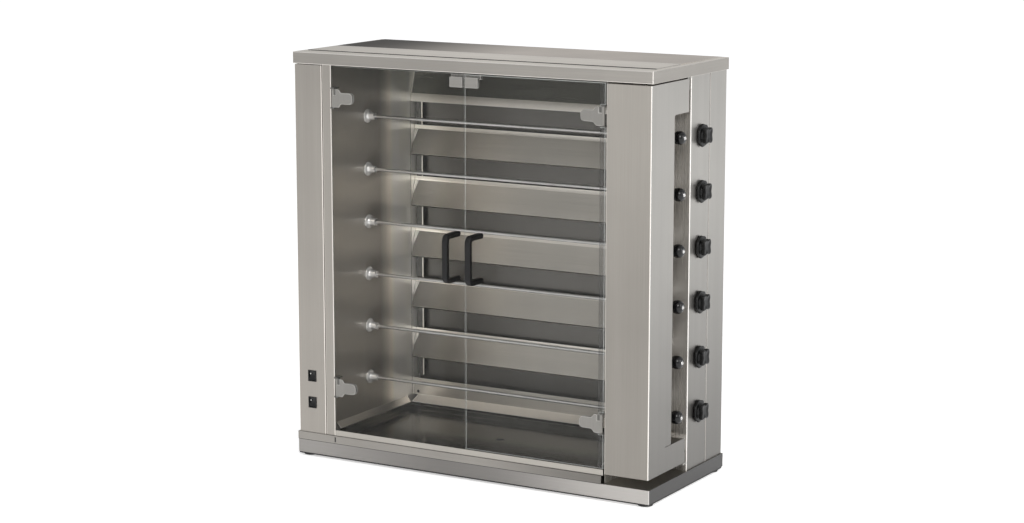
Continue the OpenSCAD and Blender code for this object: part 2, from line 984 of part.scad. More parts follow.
feet();
plinth();
front_rail();
left_cover();
left_inner_wall();
right_inner_wall();
back_panel();
right_side_panel();
control_panel();
cap();
vent_plate();
hood();
deflectors();
lower_panel();
drip_tray();
burners();
gas_manifold();
for (i = [1:spit_count]) {
    burner_knob(i);
    spit(i);
    spit_handle(i);
    spit_drive(i);
}
gear_motor();
drive_chain();
pane(left_handle_x);  // left_door_glass
mirrored() pane(2 * middle_x - right_handle_x);  // right_door_glass
hinge_pair();  // left_door_hinges
mirrored() hinge_pair();  // right_door_hinges
d_handle(left_handle_x);  // left_door_handle
d_handle(right_handle_x);  // right_door_handle
strike();  // left_door_strike
mirrored() strike();  // right_door_strike
door_catch();
door_hinge_pins();
guard_door();
guard_hinge_pins();
rocker(rocker_high);  // upper_rocker
rocker(rocker_low);  // lower_rocker
switch_bezels();
cable_gland();
cover_screws();
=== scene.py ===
import json
import math

import bmesh
import bpy
from mathutils import Matrix, Vector


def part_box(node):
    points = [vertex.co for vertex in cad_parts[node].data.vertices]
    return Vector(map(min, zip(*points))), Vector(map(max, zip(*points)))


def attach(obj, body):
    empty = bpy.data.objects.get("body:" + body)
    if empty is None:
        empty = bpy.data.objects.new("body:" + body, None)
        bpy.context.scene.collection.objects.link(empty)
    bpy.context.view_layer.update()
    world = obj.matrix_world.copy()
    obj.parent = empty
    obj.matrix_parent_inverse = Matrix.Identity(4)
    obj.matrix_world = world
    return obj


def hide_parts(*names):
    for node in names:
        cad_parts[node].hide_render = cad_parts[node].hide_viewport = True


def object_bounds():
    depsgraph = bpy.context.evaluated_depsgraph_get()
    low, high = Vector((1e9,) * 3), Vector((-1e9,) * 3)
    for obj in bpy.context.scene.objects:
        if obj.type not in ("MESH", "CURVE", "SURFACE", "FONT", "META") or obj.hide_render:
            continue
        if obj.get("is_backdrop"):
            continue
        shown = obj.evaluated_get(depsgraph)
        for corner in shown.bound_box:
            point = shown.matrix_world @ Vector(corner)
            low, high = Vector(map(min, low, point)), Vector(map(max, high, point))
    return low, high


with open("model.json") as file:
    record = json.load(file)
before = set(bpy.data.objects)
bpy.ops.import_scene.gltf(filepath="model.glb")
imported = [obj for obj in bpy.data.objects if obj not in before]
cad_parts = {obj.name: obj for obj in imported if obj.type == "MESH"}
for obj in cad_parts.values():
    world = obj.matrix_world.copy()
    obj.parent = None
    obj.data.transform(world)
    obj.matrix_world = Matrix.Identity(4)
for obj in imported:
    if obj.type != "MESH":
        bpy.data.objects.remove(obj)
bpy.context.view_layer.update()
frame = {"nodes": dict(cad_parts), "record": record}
MM = 0.001
nodes = frame["nodes"]
body_of_node = {n: b for b, ns in frame["record"]["behaviour"]["bodies"].items() for n in ns}
SPITS = range(1, 7)


# ---------------------------------------------------------------- materials

def new_material(name):
    """A material with a Principled shader: gives the material, its node tree and the shader."""
    m = bpy.data.materials.new(name)
    m.use_nodes = True
    m.node_tree.nodes.clear()
    out = m.node_tree.nodes.new("ShaderNodeOutputMaterial")
    bsdf = m.node_tree.nodes.new("ShaderNodeBsdfPrincipled")
    m.node_tree.links.new(bsdf.outputs[0], out.inputs[0])
    return m, m.node_tree, bsdf


def node(tree, kind, **values):
    """A shader node. A value sets the node's property of that name, or else its input."""
    n = tree.nodes.new("ShaderNode" + kind)
    for key, value in values.items():
        if key in n.bl_rna.properties:
            setattr(n, key, value)
        else:
            n.inputs[key.replace("_", " ")].default_value = value
    return n


def placed(tree, scale, location=(0.0, 0.0, 0.0)):
    """The object's own coordinates in metres, scaled and moved."""
    coords = node(tree, "TexCoord")
    mapping = node(tree, "Mapping")
    mapping.inputs["Scale"].default_value = scale
    mapping.inputs["Location"].default_value = location
    tree.links.new(coords.outputs["Object"], mapping.inputs["Vector"])
    return mapping.outputs[0]


def split(tree, kind):
    """The X, Y and Z of a texture coordinate."""
    coords = node(tree, "TexCoord")
    parts = node(tree, "SeparateXYZ")
    tree.links.new(coords.outputs[kind], parts.inputs[0])
    return parts.outputs


def stretched_noise(tree, scale, detail=3.0):
    """A noise in the object's own metres, with its own frequency along each axis."""
    noise = node(tree, "TexNoise", Scale=1.0, Detail=detail, Roughness=0.6)
    tree.links.new(placed(tree, scale), noise.inputs["Vector"])
    return noise.outputs[0]


def ranged(tree, value, low, high, from_low=0.3, from_high=0.7, kind="LINEAR"):
    """Maps a value from one range to another. The usual first range is what a noise mostly gives."""
    r = node(tree, "MapRange", interpolation_type=kind)
    r.inputs["From Min"].default_value = from_low
    r.inputs["From Max"].default_value = from_high
    r.inputs["To Min"].default_value = low
    r.inputs["To Max"].default_value = high
    tree.links.new(value, r.inputs["Value"])
    return r.outputs[0]


def math_node(tree, operation, a, b):
    """An operation on two values, each a number or a socket."""
    m = node(tree, "Math", operation=operation)
    for k, v in enumerate((a, b)):
        if isinstance(v, (int, float)):
            m.inputs[k].default_value = v
        else:
            tree.links.new(v, m.inputs[k])
    return m.outputs[0]


def mix_colour(tree, factor, a, b):
    """Goes from colour a to colour b as the factor goes from 0 to 1."""
    m = node(tree, "Mix", data_type="RGBA")
    sockets = [m.inputs["Factor"], m.inputs[6], m.inputs[7]]
    for s, v in zip(sockets, (factor, a, b)):
        if isinstance(v, bpy.types.NodeSocket):
            tree.links.new(v, s)
        elif isinstance(v, (int, float)):
            s.default_value = v
        else:
            s.default_value = (*v, 1.0)
    return m.outputs[2]


def facing_x(tree):
    """1 on faces that look along X, 0 elsewhere."""
    size = math_node(tree, "ABSOLUTE", split(tree, "Normal")[0], 0.0)
    return math_node(tree, "GREATER_THAN", size, 0.7)


def grain(tree, across, along, upright):
    """Brushing lines: upright ones run along Z, the others along X, or along Y on faces that look along X."""
    if upright:
        return stretched_noise(tree, (across, across, along))
    plain = stretched_noise(tree, (along, across, across))
    side = stretched_noise(tree, (across, along, across))
    m = node(tree, "Mix", data_type="FLOAT")
    tree.links.new(facing_x(tree), m.inputs[0])
    tree.links.new(plain, m.inputs[2])
    tree.links.new(side, m.inputs[3])
    return m.outputs[0]


def painted_fade(tree, fade):
    """Painted light or shade, as a value that changes along one axis of the frame:
    (axis, from, to, value at from, value at to).
    """
    axis, start, end, low, high = fade
    return ranged(tree, split(tree, "Object")["XYZ".index(axis)], low, high, start, end, "SMOOTHSTEP")


def painted_shadow(tree, shadow):
    """A painted soft shadow: (its middle in Y and Z, its reach in Y and Z, its tone in the middle)."""
    y, z, reach_y, reach_z, tone = shadow
    far = node(tree, "VectorMath", operation="LENGTH")
    tree.links.new(placed(tree, (0.0, 1 / reach_y, 1 / reach_z), (0.0, -y / reach_y, -z / reach_z)),
                   far.inputs[0])
    return ranged(tree, far.outputs["Value"], tone, 1.0, 0.0, 1.0, "SMOOTHSTEP")


def toned(tree, colour, value):
    """A colour made lighter or darker by a value."""
    base = node(tree, "RGB")
    base.outputs[0].default_value = (*colour, 1.0)
    scaled = node(tree, "VectorMath", operation="SCALE")
    tree.links.new(base.outputs[0], scaled.inputs[0])
    tree.links.new(value, scaled.inputs["Scale"])
    return scaled.outputs[0]


def edge_highlight_and_wear(tree):
    """1 on the faces marked by soften and open_folds, 0 elsewhere: a painted highlight on metal
    and glass, and rubbing on plastic.
    """
    return node(tree, "Attribute", attribute_name="edge_highlight_and_wear").outputs["Fac"]


def bumped(tree, bsdf, height, strength, distance):
    """Bumps on the surface, from a noise."""
    bumps = node(tree, "Bump", Strength=strength, Distance=distance)
    tree.links.new(height, bumps.inputs["Height"])
    tree.links.new(bumps.outputs[0], bsdf.inputs["Normal"])


def brushed(name, colour, roughness=0.36, upright=True, contrast=0.04, metallic=1.0, bump=0.08,
            blotch=0.05, painted_fades=(), edge_tone=1.0, shadows=()):
    """Brushed stainless steel with fine and broad brushing lines, faint smudges and painted highlights on
    its rounded edges. Each fade is painted light or shade, a soft change of tone along one axis; edge_tone
    dims what it mirrors at a grazing angle; shadows are painted soft shadows on a wall that stands along Y."""
    m, tree, bsdf = new_material(name)
    fine = grain(tree, 900.0, 4.0, upright)
    broad = grain(tree, 30.0, 0.5, upright)
    smudge = stretched_noise(tree, (4.0, 4.0, 3.0), 2.0)
    value = math_node(tree, "MULTIPLY", ranged(tree, fine, 1 - contrast * 1.6, 1 + contrast * 1.2),
                      ranged(tree, broad, 1 - contrast * 0.7, 1 + contrast * 0.7))
    value = math_node(tree, "MULTIPLY", value, ranged(tree, smudge, 1 - blotch, 1 + blotch))
    for fade in painted_fades:
        value = math_node(tree, "MULTIPLY", value, painted_fade(tree, fade))
    for shadow in shadows:
        value = math_node(tree, "MULTIPLY", value, painted_shadow(tree, shadow))
    # Painted highlight: the marked edge faces take a brighter colour
    highlight_and_wear_amount = math_node(tree, "MULTIPLY", edge_highlight_and_wear(tree), ranged(tree, smudge, 0.75, 1.0))
    bright = tuple(min(1.0, c * 1.9 + 0.22) for c in colour)
    tree.links.new(mix_colour(tree, highlight_and_wear_amount, toned(tree, colour, value), bright), bsdf.inputs["Base Color"])
    bsdf.inputs["Metallic"].default_value = metallic
    bsdf.inputs["Specular Tint"].default_value = (edge_tone, edge_tone, edge_tone, 1.0)
    rough = math_node(tree, "ADD", ranged(tree, fine, roughness - 0.04, roughness + 0.04),
                      ranged(tree, smudge, -0.02, 0.03))
    tree.links.new(rough, bsdf.inputs["Roughness"])
    bumped(tree, bsdf, fine, bump, 0.2 * MM)
    return m


def moulded(name, colour, roughness=0.35, spread=0.35, bump=0.15, shine=0.5):
    """Moulded plastic or rubber: a fine pebble, uneven gloss and lightly rubbed edges."""
    m, tree, bsdf = new_material(name)
    pebble = stretched_noise(tree, (900.0, 900.0, 900.0), 2.0)
    patch = stretched_noise(tree, (45.0, 45.0, 45.0))
    uneven = toned(tree, colour, ranged(tree, patch, 1 - spread, 1 + spread))
    highlight_and_wear_amount = math_node(tree, "MULTIPLY", edge_highlight_and_wear(tree), ranged(tree, patch, 0.05, 0.30))
    tree.links.new(mix_colour(tree, highlight_and_wear_amount, uneven, (0.10, 0.097, 0.093)), bsdf.inputs["Base Color"])
    tree.links.new(ranged(tree, patch, roughness - 0.07, roughness + 0.09), bsdf.inputs["Roughness"])
    bsdf.inputs["Specular IOR Level"].default_value = shine
    bumped(tree, bsdf, pebble, bump, 0.15 * MM)
    return m


def polished(name, colour, roughness=0.12):
    """Bright metal with faint turning marks and dull handling marks."""
    m, tree, bsdf = new_material(name)
    marks = stretched_noise(tree, (700.0, 40.0, 40.0), 2.0)
    patch = stretched_noise(tree, (30.0, 30.0, 30.0))
    tree.links.new(toned(tree, colour, ranged(tree, patch, 0.88, 1.05)), bsdf.inputs["Base Color"])
    bsdf.inputs["Metallic"].default_value = 1.0
    tree.links.new(math_node(tree, "ADD", ranged(tree, patch, roughness, roughness + 0.12),
                             ranged(tree, marks, 0.0, 0.05)), bsdf.inputs["Roughness"])
    bumped(tree, bsdf, marks, 0.06, 0.1 * MM)
    return m


def pane_glass(name, colour, alpha):
    """Clear tempered glass with a faint film of grease, and a painted highlight on its cut edges."""
    m, tree, bsdf = new_material(name)
    film = stretched_noise(tree, (3.0, 3.0, 2.0))
    wipe = stretched_noise(tree, (14.0, 14.0, 1.2))
    tree.links.new(ranged(tree, wipe, 0.02, 0.08), bsdf.inputs["Roughness"])
    bsdf.inputs["IOR"].default_value = 1.5
    bsdf.inputs["Specular IOR Level"].default_value = 0.6
    # Painted highlight: the cut edges lighter and less clear
    highlight_and_wear = edge_highlight_and_wear(tree)
    tree.links.new(mix_colour(tree, highlight_and_wear, colour, (0.62, 0.64, 0.62)), bsdf.inputs["Base Color"])
    clear = math_node(tree, "ADD", ranged(tree, film, alpha - 0.02, alpha + 0.03),
                      ranged(tree, wipe, -0.01, 0.02))
    whole = math_node(tree, "ADD", clear, math_node(tree, "MULTIPLY", highlight_and_wear, 0.70))
    tree.links.new(whole, bsdf.inputs["Alpha"])
    return m


# Painted shade that several sheets share: darker towards the floor, and the painted shadow that a cup throws
# on the wall
LOW_SHADE = ("Z", 0.0, 0.95, 0.38, 0.95)
CUP_MIDDLES = [sum(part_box(f"spit_drive_{i}"), Vector()) / 2 for i in SPITS]
CUP_SHADOWS = [(middle.y + 27 * MM, middle.z + 8 * MM, 0.062, 0.058, 0.64) for middle in CUP_MIDDLES]
STEEL_UP = brushed("steel_upright", (0.345, 0.322, 0.293), 0.36, True)
# Painted light: a lighter copy of the upright steel for faces that look right, painted darker towards the
# floor
LIT_SIDE_UP = brushed("steel_side_lit", (0.44, 0.425, 0.40), 0.36, True, painted_fades=[LOW_SHADE])
# Painted light and shade: the guard front darker low down, lighter near its top
GUARD_FRONT = brushed("guard_steel", (0.36, 0.337, 0.306), 0.36, True,
                      painted_fades=[("Z", 0.42, 1.08, 0.78, 1.13)])
# Painted shade: the rail darker towards its right-hand end
STEEL_ALONG = brushed("steel_along", (0.30, 0.284, 0.262), 0.36, False,
                      painted_fades=[("X", 0.0, 0.4, 1.0, 0.60)])
# Painted shade: the top dark at its left end, lighter to the right
STEEL_TOP = brushed("steel_top", (0.70, 0.645, 0.59), 0.50, False, edge_tone=0.56,
                    painted_fades=[("X", -0.50, 0.05, 0.15, 1.0)])
# Painted light: the lid strip lighter towards its middle
LID_STRIP = brushed("steel_lid", (0.62, 0.58, 0.525), 0.48, False,
                    painted_fades=[("X", -0.45, -0.05, 1.0, 1.14)])
# Painted reflection: the left wall darker at the front and lighter towards the back, with painted cup shadows
WALL_LEFT = brushed("wall_left", (0.50, 0.47, 0.426), 0.34, True, 0.05, bump=0.05, metallic=0.9,
                    painted_fades=[("Y", 0.01, 0.095, 0.72, 2.3)], shadows=CUP_SHADOWS)
INNER_UP = brushed("inner_upright", (0.30, 0.282, 0.258), 0.27, True)
# Painted shade: the slopes dark at their left ends
SLOPE = brushed("slope_steel", (0.46, 0.432, 0.385), 0.33, False, 0.06, bump=0.03,
                painted_fades=[("X", -0.42, -0.12, 0.25, 1.12)])
# Painted light: a lighter copy of the slope steel for the flanges that face the front, lighter still at the
# left
LIT_FLANGE = brushed("flange_steel", (0.78, 0.735, 0.665), 0.38, False, 0.03, bump=0.03,
                 painted_fades=[("X", -0.35, -0.10, 1.25, 1.0)])
# Painted light: a lighter copy of the hood steel for its flanges, a little darker to the right
LIT_HOOD_FLANGE = brushed("hood_flange_steel", (0.74, 0.70, 0.634), 0.38, False, 0.03, bump=0.03,
                      painted_fades=[("X", -0.30, 0.10, 1.0, 0.92)])
# Painted light: the sloping faces of the lower panel lighter towards the right
LOWER = brushed("lower_steel", (0.62, 0.585, 0.53), 0.40, False, 0.05, 0.45, bump=0.03,
                painted_fades=[("X", -0.42, -0.10, 0.82, 1.35)])
LOWER_WALL = brushed("lower_wall_steel", (0.74, 0.697, 0.628), 0.36, False, 0.05, bump=0.03)
# Painted shade: a darker copy of the steel, at about half tone, for the back wall of the recesses
RECESS_SHADE = brushed("recess_shade_steel", (0.26, 0.248, 0.228), 0.34, False, 0.05, bump=0.03,
                 painted_fades=[("X", -0.35, 0.10, 0.48, 0.50)])
HOOD = brushed("hood_steel", (0.172, 0.170, 0.152), 0.30, False, 0.06)
TRAY = brushed("tray_steel", (0.19, 0.183, 0.165), 0.16, False, 0.06, edge_tone=0.66)
TRAY_FRONT = brushed("tray_front", (0.42, 0.398, 0.362), 0.36, False)
LIP = brushed("lip_steel", (0.46, 0.437, 0.402), 0.36, False)
# Painted light: a lighter copy of the steel for the faces seen through the guard's slot, inside its shade
LIT_SLOT_BACK = brushed("slot_back_lit", (0.58, 0.551, 0.507), 0.24, True, metallic=0.7)
BURNER = brushed("burner_steel", (0.36, 0.33, 0.30), 0.42, False, 0.10)
CHAIN = brushed("chain_steel", (0.20, 0.19, 0.18), 0.40, False, 0.12)
ZINC = brushed("cast_steel", (0.235, 0.227, 0.211), 0.48, True, 0.05, 0.45, blotch=0.09)
ZINC_DARK = brushed("cast_steel_dark", (0.11, 0.108, 0.10), 0.5, True, 0.05, 0.4)
STRIKE = brushed("strike_steel", (0.255, 0.245, 0.228), 0.42, False, 0.05, 0.6)
BRASS = brushed("brass", (0.62, 0.48, 0.22), 0.35, True, 0.08)
# Painted reflection: a bright, less metallic copy of the chrome for the drive cups, for the light they mirror
BELL = brushed("cup_steel", (0.86, 0.85, 0.83), 0.22, True, 0.03, 0.65, bump=0.03)
CHROME = polished("chrome", (0.80, 0.80, 0.81))
ROD = polished("rod_steel", (0.56, 0.55, 0.53), 0.26)
BLACK = moulded("black_plastic", (0.006, 0.006, 0.006), 0.40, shine=0.28)
SATIN_BLACK = moulded("satin_black", (0.007, 0.007, 0.0072), 0.45, bump=0.08, shine=0.28)
GLOSS_BLACK = moulded("gloss_black", (0.004, 0.004, 0.0042), 0.22, bump=0.04, shine=0.40)
RUBBER = moulded("rubber", (0.012, 0.012, 0.012), 0.7)
# Painted light and shade: the plinth front darker towards the middle and much lighter to the right
PLINTH = brushed("plinth_steel", (0.27, 0.259, 0.247), 0.38, False,
                 painted_fades=[("X", -0.5, -0.05, 1.12, 0.76), ("X", 0.0, 0.52, 1.0, 2.2)])
# Painted shade: dark copies of the plinth steel for its right-hand face and for its top, in the shade under
# the guard
SHADED_PLINTH_SIDE = brushed("shaded_plinth_side_steel", (0.078, 0.077, 0.076), 0.38, False)
SHADED_PLINTH_TOP = brushed("shaded_plinth_top_steel", (0.30, 0.288, 0.266), 0.38, False)
# Painted light: the cap front lighter towards the right
FASCIA = brushed("fascia_steel", (0.33, 0.311, 0.286), 0.36, False, painted_fades=[("X", 0.0, 0.5, 1.0, 1.17)])
# Dark steel for a joint line and for the painted shade at the ends of the recesses, and painted shade for
# gaps, grooves and holes
SEAM_AND_SHADE_STEEL = brushed("recess_end_shade_steel", (0.12, 0.117, 0.11), 0.4, True)
SEAM_SHADOW = moulded("seam_shadow", (0.035, 0.034, 0.032), 0.8)
MOTOR = moulded("motor_paint", (0.10, 0.11, 0.13), 0.45)
MARK = moulded("pale_mark", (0.55, 0.55, 0.53), 0.5, 0.06)
GLASS = pane_glass("door_glass", (0.10, 0.10, 0.094), 0.07)
EDGE_BAND = pane_glass("glass_band", (0.03, 0.03, 0.03), 0.22)


# ---------------------------------------------------------------- mesh tools

def add_piece(name, bm, material, body, smooth_angle=35):
    """Makes an object from a bmesh, shades it smooth up to an angle and lets it ride on its body."""
    mesh = bpy.data.meshes.new(name)
    bm.normal_update()
    bm.to_mesh(mesh)
    bm.free()
    mesh.materials.append(material)
    mesh.shade_smooth()
    mesh.set_sharp_from_angle(angle=math.radians(smooth_angle))
    obj = bpy.data.objects.new(name, mesh)
    bpy.context.scene.collection.objects.link(obj)
    flats = obj.modifiers.new("flats", "WEIGHTED_NORMAL")
    flats.weight = 100
    flats.keep_sharp = True
    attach(obj, body)
    return obj


def highlight_and_wear_layer(bm):
    """The face layer of painted edge highlights, and of rubbing on plastic, that the materials read."""
    return bm.faces.layers.float.get("edge_highlight_and_wear") or bm.faces.layers.float.new("edge_highlight_and_wear")


def soften(bm, width, segments=2, angle=32, where=None):
    """Rounds the sharp edges, or those that `where` picks, and marks the new faces for a painted
    highlight on metal and glass and for rubbing on plastic.
    """
    highlight_and_wear = highlight_and_wear_layer(bm)
    limit = math.radians(angle)
    edges = [e for e in bm.edges if len(e.link_faces) == 2 and e.calc_face_angle(0) > limit
             and (where is None or where(e))]
    made = bmesh.ops.bevel(bm, geom=edges, offset=width, segments=segments, profile=0.5,
                           affect="EDGES", clamp_overlap=True)
    for f in made["faces"]:
        f[highlight_and_wear] = 1.0


# Outside of a fold in the sheet: as the CAD has it, and as it shows
CAD_FOLD, SEEN_FOLD = 0.75 * MM, 2.3 * MM


def open_folds(bm, folds, cad_radius, radius):
    """Widens the outside of upright folds. Each fold is its outer corner and the two ways it faces."""
    highlight_and_wear = highlight_and_wear_layer(bm)
    slack = 0.02 * MM
    for x, y, way_x, way_y in folds:
        for v in bm.verts:
            u = (x - v.co.x) * way_x
            w = (y - v.co.y) * way_y
            if -slack <= u <= cad_radius + slack and -slack <= w <= cad_radius + slack:
                turn = math.atan2(cad_radius - w, cad_radius - u)
                v.co.x = x - way_x * radius * (1 - math.cos(turn))
                v.co.y = y - way_y * radius * (1 - math.sin(turn))
    bm.normal_update()
    # The faces of the widened folds are marked for a painted highlight
    for f in bm.faces:
        centre = f.calc_center_median()
        near = any(abs(centre.x - x) < radius and abs(centre.y - y) < radius for x, y, _, _ in folds)
        if near and min(abs(f.normal.x), abs(f.normal.y)) > 0.12:
            f[highlight_and_wear] = 1.0


def rounded(name, node_name, material, width, segments=2, folds=(), big=None, others=()):
    """The CAD node's own shape with its edges rounded, standing for that node. `big` is (where, width)
    for edges with a wider round; `others` are (where, material) for faces in another finish."""
    bm = bmesh.new()
    bm.from_mesh(nodes[node_name].data)
    bmesh.ops.remove_doubles(bm, verts=bm.verts, dist=1e-6)
    bmesh.ops.dissolve_limit(bm, angle_limit=math.radians(0.3), verts=bm.verts, edges=bm.edges)
    bm.normal_update()
    for index, (where, _) in enumerate(others):
        for f in bm.faces:
            if where(f.normal, f.calc_center_median()):
                f.material_index = index + 1
    if folds:
        open_folds(bm, folds, CAD_FOLD, SEEN_FOLD)
    if big:
        soften(bm, big[1], 4, where=big[0])
    soften(bm, width, segments)
    obj = add_piece(name, bm, material, body_of_node[node_name])
    for _, other in others:
        obj.data.materials.append(other)
    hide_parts(node_name)
    return obj


def ring_stack(bm, rings, frame_of):
    """Joins rings of points into one closed skin. Each ring is a list of (along, across, up)."""
    made = []
    for ring in rings:
        made.append([bm.verts.new(frame_of @ Vector(p)) for p in ring])
    count = len(made[0])
    for first, second in zip(made, made[1:]):
        for k in range(count):
            bm.faces.new((first[k], first[(k + 1) % count], second[(k + 1) % count], second[k]))
    bm.faces.new(made[0])
    bm.faces.new(list(reversed(made[-1])))
    bmesh.ops.recalc_face_normals(bm, faces=bm.faces)


def lobed_ring(along, radius, lobes, depth, steps, sharp, first):
    """A ring about the first axis whose radius dips between its lobes. `first` is the angle of a lobe,
    and a higher `sharp` makes the dips narrower. With no lobes it is a circle."""
    points = []
    for k in range(steps):
        turn = 2 * math.pi * k / steps
        dip = (0.5 - 0.5 * math.cos(lobes * (turn - first))) ** sharp
        r = radius * (1 - depth * dip)
        points.append((along, r * math.cos(turn), r * math.sin(turn)))
    return points


def turned(name, body, material, origin, profile, lobes=0, depth=0.0, sharp=1.0, first=0.0,
           replaces=None, axis="X"):
    """A turned or lobed piece. The profile is (distance along the axis, radius), in mm, from end to end."""
    bm = bmesh.new()
    spin = {"X": Matrix.Identity(3), "Y": Matrix(((0, 1, 0), (1, 0, 0), (0, 0, 1))),
            "Z": Matrix(((0, 1, 0), (0, 0, 1), (1, 0, 0)))}[axis]
    frame_of = Matrix.Translation(origin) @ spin.to_4x4()
    steps = 96 if lobes else 40
    rings = [lobed_ring(a * MM, r * MM, lobes, depth, steps, sharp, first) for a, r in profile]
    ring_stack(bm, rings, frame_of)
    obj = add_piece(name, bm, material, body, 40)
    if replaces:
        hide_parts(replaces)
    return obj


def plate(name, body, material, outline, near, far, width, replaces=None):
    """A flat plate from an outline in X and Z, between two values of Y, with rounded edges."""
    bm = bmesh.new()
    front = [bm.verts.new((x, near, z)) for x, z in outline]
    back = [bm.verts.new((x, far, z)) for x, z in outline]
    bm.faces.new(front)
    bm.faces.new(list(reversed(back)))
    for k in range(len(outline)):
        after = (k + 1) % len(outline)
        bm.faces.new((front[after], front[k], back[k], back[after]))
    bmesh.ops.recalc_face_normals(bm, faces=bm.faces)
    soften(bm, width, angle=25)
    obj = add_piece(name, bm, material, body)
    if replaces:
        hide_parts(replaces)
    return obj


def bar(name, body, material, low, high, width=0.3 * MM, segments=2):
    """A straight strip or small block with rounded edges."""
    bm = bmesh.new()
    corners = [bm.verts.new((x, y, z)) for z in (low[2], high[2]) for x, y in
               ((low[0], low[1]), (high[0], low[1]), (high[0], high[1]), (low[0], high[1]))]
    for quad in ((3, 2, 1, 0), (4, 5, 6, 7), (0, 1, 5, 4), (1, 2, 6, 5), (2, 3, 7, 6), (3, 0, 4, 7)):
        bm.faces.new([corners[k] for k in quad])
    soften(bm, width, segments)
    return add_piece(name, bm, material, body)


def arc(cx, cz, radius, start, end, steps):
    """Points along an arc, from one angle to another in degrees."""
    turns = [math.radians(start + (end - start) * k / steps) for k in range(steps + 1)]
    return [(cx + radius * math.cos(turn), cz + radius * math.sin(turn)) for turn in turns]


# ---------------------------------------------------------------- places, worked out from the frame

plinth_low, plinth_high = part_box("plinth")
cap_low, cap_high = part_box("cap")
rail_low, rail_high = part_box("front_rail")
column_low, column_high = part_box("left_cover")
post_low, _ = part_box("left_inner_wall")
panel_low, panel_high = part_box("control_panel")
_, side_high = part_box("right_side_panel")
guard_low, guard_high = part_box("guard_door")
vent_low, vent_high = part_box("vent_plate")
tray_low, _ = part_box("drip_tray")
hood_low, hood_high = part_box("hood")
glass_low, glass_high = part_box("left_door_glass")
PANE_GAP = 1 * MM
cavity_left = glass_low.x - PANE_GAP
cavity_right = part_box("right_door_glass")[1].x + PANE_GAP
SIDES = (("left", 1, cavity_left), ("right", -1, cavity_right))
front_y, glass_back = glass_low.y, glass_high.y
lower_low, lower_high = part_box("lower_panel")
deflector_low, deflector_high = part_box("deflectors")
strip_y = deflector_high.y + 2.9 * MM
strip_low = lower_high.z + 8 * MM
groove_y = cap_low.y + 56.8 * MM
drain_y = -35 * MM
hood_foot = (deflector_low.y + 2.6 * MM, hood_low.z + 25 * MM)
hood_head = (hood_high.y - 4.5 * MM, hood_high.z - 6 * MM)
spit_heights = [middle.z for middle in CUP_MIDDLES]


# ---------------------------------------------------------------- casing and lining

def faces_right(normal, centre):
    return normal.x > 0.9


def plinth_corner(edge):
    """An upright edge at a corner of the plinth."""
    a, b = (v.co for v in edge.verts)
    return abs(a.x - b.x) < MM and abs(a.y - b.y) < MM and abs(a.x) > plinth_high.x - MM


def cap_front_edge(edge):
    """The cap's top front edge and its two front corners."""
    points = [v.co for v in edge.verts]
    return all(p.y < cap_low.y + MM for p in points) and (
        all(p.z > cap_high.z - 3 * MM for p in points) or all(abs(p.x) > cap_high.x - MM for p in points))


rounded("plinth_box", "plinth", PLINTH, 0.8 * MM, big=(plinth_corner, 1.2 * MM),
        others=[(faces_right, SHADED_PLINTH_SIDE), (lambda n, c: n.z > 0.9, SHADED_PLINTH_TOP)])
rounded("rail_band", "front_rail", STEEL_ALONG, 0.4 * MM)
rounded("column_cover", "left_cover", STEEL_UP, 0.4 * MM,
        folds=[(column_high.x, column_low.y, 1, -1), (column_low.x, column_low.y, -1, -1)])
rounded("left_wall", "left_inner_wall", STEEL_UP, 0.4 * MM,
        folds=[(post_low.x, post_low.y, -1, -1), (cavity_left, post_low.y, 1, -1)],
        others=[(lambda n, c: n.x > 0.9 and c.x < cavity_left + 0.2 * MM and c.y > post_low.y + 8 * MM,
                 WALL_LEFT),
                (lambda n, c: c.x > cavity_left + 0.4 * MM, LIP)])
rounded("right_wall", "right_inner_wall", INNER_UP, 0.4 * MM,
        others=[(faces_right, LIT_SLOT_BACK), (lambda n, c: c.x < cavity_right - 0.4 * MM, LIP)])
rounded("back_sheet", "back_panel", STEEL_UP, 0.4 * MM, others=[(lambda n, c: n.y < -0.9, RECESS_SHADE)])
rounded("side_sheet", "right_side_panel", STEEL_UP, 0.4 * MM,
        folds=[(side_high.x, side_high.y, 1, 1)], others=[(faces_right, LIT_SIDE_UP)])
rounded("control_sheet", "control_panel", STEEL_UP, 0.4 * MM,
        folds=[(panel_high.x, panel_low.y, 1, -1), (panel_high.x, panel_high.y, 1, 1)],
        others=[(faces_right, LIT_SIDE_UP), (lambda n, c: n.y < -0.9, LIT_SLOT_BACK)])
rounded("cap_box", "cap", FASCIA, 0.5 * MM, big=(cap_front_edge, 1.6 * MM),
        others=[(lambda n, c: n.z > 0.9, LID_STRIP)])
rounded("vent_sheet", "vent_plate", STEEL_TOP, 0.2 * MM)
rounded("hood_sheet", "hood", HOOD, 0.3 * MM,
        others=[(lambda n, c: abs(n.y) > 0.98 and c.z < hood_low.z + 30 * MM, LIT_HOOD_FLANGE)])
rounded("deflector_sheets", "deflectors", SLOPE, 0.3 * MM,
        others=[(lambda n, c: abs(n.y) > 0.98, LIT_FLANGE)])
rounded("lower_sheet", "lower_panel", LOWER_WALL, 0.3 * MM,
        others=[(lambda n, c: 0.1 < abs(n.z) < 0.99, LOWER)])
rounded("tray_pan", "drip_tray", TRAY, 0.3 * MM,
        others=[(lambda n, c: c.y < tray_low.y + 2 * MM and n.y < 0.5, TRAY_FRONT)])
rounded("burner_tubes", "burners", BURNER, 0.4 * MM)
rounded("manifold_pipe", "gas_manifold", BRASS, 0.8 * MM)
rounded("motor_box", "gear_motor", MOTOR, 2.0 * MM, 3)
rounded("chain_band", "drive_chain", CHAIN, 0.6 * MM)
